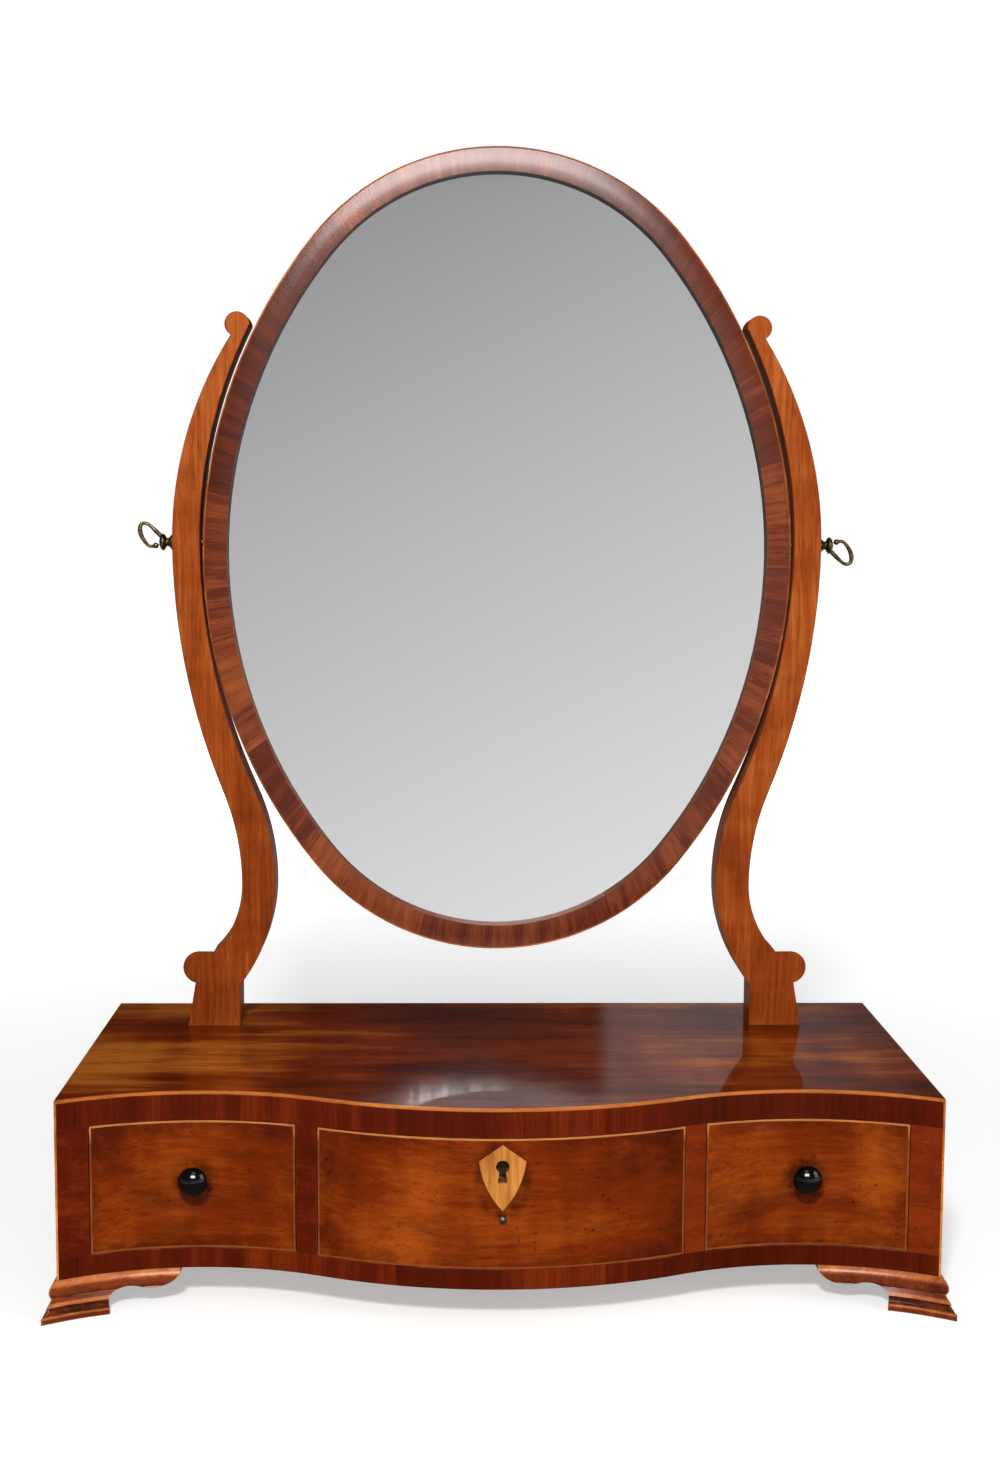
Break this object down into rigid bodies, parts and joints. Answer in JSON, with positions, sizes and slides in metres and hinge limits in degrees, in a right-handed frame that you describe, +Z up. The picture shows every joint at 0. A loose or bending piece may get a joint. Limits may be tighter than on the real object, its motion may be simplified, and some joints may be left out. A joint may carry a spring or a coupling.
{
  "type": "dressing table mirror",
  "caption": "Oval swing mirror on S-scroll uprights above a serpentine-fronted drawer box with ogee bracket feet; the glass tilts on brass swivel screws.",
  "frame": {"origin": "on the floor under the middle of the bounding box", "axes": "+X to the right seen from the front, +Y to the back, +Z up; the drawers open towards -Y"},
  "size_m": [0.4728, 0.227, 0.6235],
  "materials": {
    "mahogany": "french polished",
    "pine": "bare, aged",
    "oak": "bare, aged",
    "boxwood": "french polished",
    "ebonised_wood": "polished",
    "brass": "dark patina",
    "iron": "dark, dull",
    "looking_glass": "silvered, aged"
  },
  "bodies": {
    "base": {"back_board": "pine", "bottom_board": "pine", "bottom_rail": "pine", "top_rail": "pine", "top_board": "mahogany", "left_end": "mahogany", "right_end": "mahogany", "left_partition": "pine", "right_partition": "pine", "front_facing": "mahogany", "edge_stringing": "boxwood", "drawer_runners": "oak", "drawer_stops": "oak", "foot_blocks": "pine", "front_left_foot": "mahogany", "front_right_foot": "mahogany", "rear_left_foot": "mahogany", "rear_right_foot": "mahogany", "left_upright": "mahogany", "right_upright": "mahogany", "upright_screws": "iron", "left_swivel_plate": "brass", "right_swivel_plate": "brass", "plate_nails": "brass"},
    "mirror": {"mirror_frame": "mahogany", "frame_stringing": "boxwood", "mirror_glass": "looking_glass", "glass_wedges": "pine", "mirror_back_board": "pine", "back_board_brads": "iron", "left_swivel_nut": "brass", "right_swivel_nut": "brass"},
    "left_swivel": {"left_swivel_screw": "brass"},
    "right_swivel": {"right_swivel_screw": "brass"},
    "left_drawer": {"left_drawer_front": "mahogany", "left_drawer_stringing": "boxwood", "left_drawer_outer_side": "oak", "left_drawer_inner_side": "oak", "left_drawer_back": "oak", "left_drawer_bottom": "oak", "left_drawer_knob": "ebonised_wood"},
    "right_drawer": {"right_drawer_front": "mahogany", "right_drawer_stringing": "boxwood", "right_drawer_outer_side": "oak", "right_drawer_inner_side": "oak", "right_drawer_back": "oak", "right_drawer_bottom": "oak", "right_drawer_knob": "ebonised_wood"},
    "centre_drawer": {"centre_drawer_front": "mahogany", "centre_drawer_stringing": "boxwood", "centre_drawer_left_side": "oak", "centre_drawer_right_side": "oak", "centre_drawer_back": "oak", "centre_drawer_bottom": "oak", "escutcheon": "boxwood", "pull_pin": "iron", "lock_case": "brass", "lock_screws": "iron"},
    "bolt": {"lock_bolt": "brass"}
  },
  "joints": [
    {"name": "mirror_tilt", "type": "hinge", "parent": "base", "child": "mirror", "pos_m": [0, 0.0685, 0.399], "axis": [1, 0, 0], "range_deg": [-90, 90]},
    {"name": "left_swivel_turn", "type": "hinge", "parent": "mirror", "child": "left_swivel", "pos_m": [-0.1875, 0.0685, 0.399], "axis": [1, 0, 0], "continuous": true},
    {"name": "right_swivel_turn", "type": "hinge", "parent": "mirror", "child": "right_swivel", "pos_m": [0.1875, 0.0685, 0.399], "axis": [1, 0, 0], "continuous": true},
    {"name": "left_drawer_slide", "type": "slide", "parent": "base", "child": "left_drawer", "axis": [0, -1, 0], "range_m": [0, 0.12]},
    {"name": "centre_drawer_slide", "type": "slide", "parent": "base", "child": "centre_drawer", "axis": [0, -1, 0], "range_m": [0, 0.12]},
    {"name": "right_drawer_slide", "type": "slide", "parent": "base", "child": "right_drawer", "axis": [0, -1, 0], "range_m": [0, 0.12]},
    {"name": "bolt_throw", "type": "slide", "parent": "centre_drawer", "child": "bolt", "axis": [0, 0, 1], "range_m": [0, 0.0045]}
  ]
}
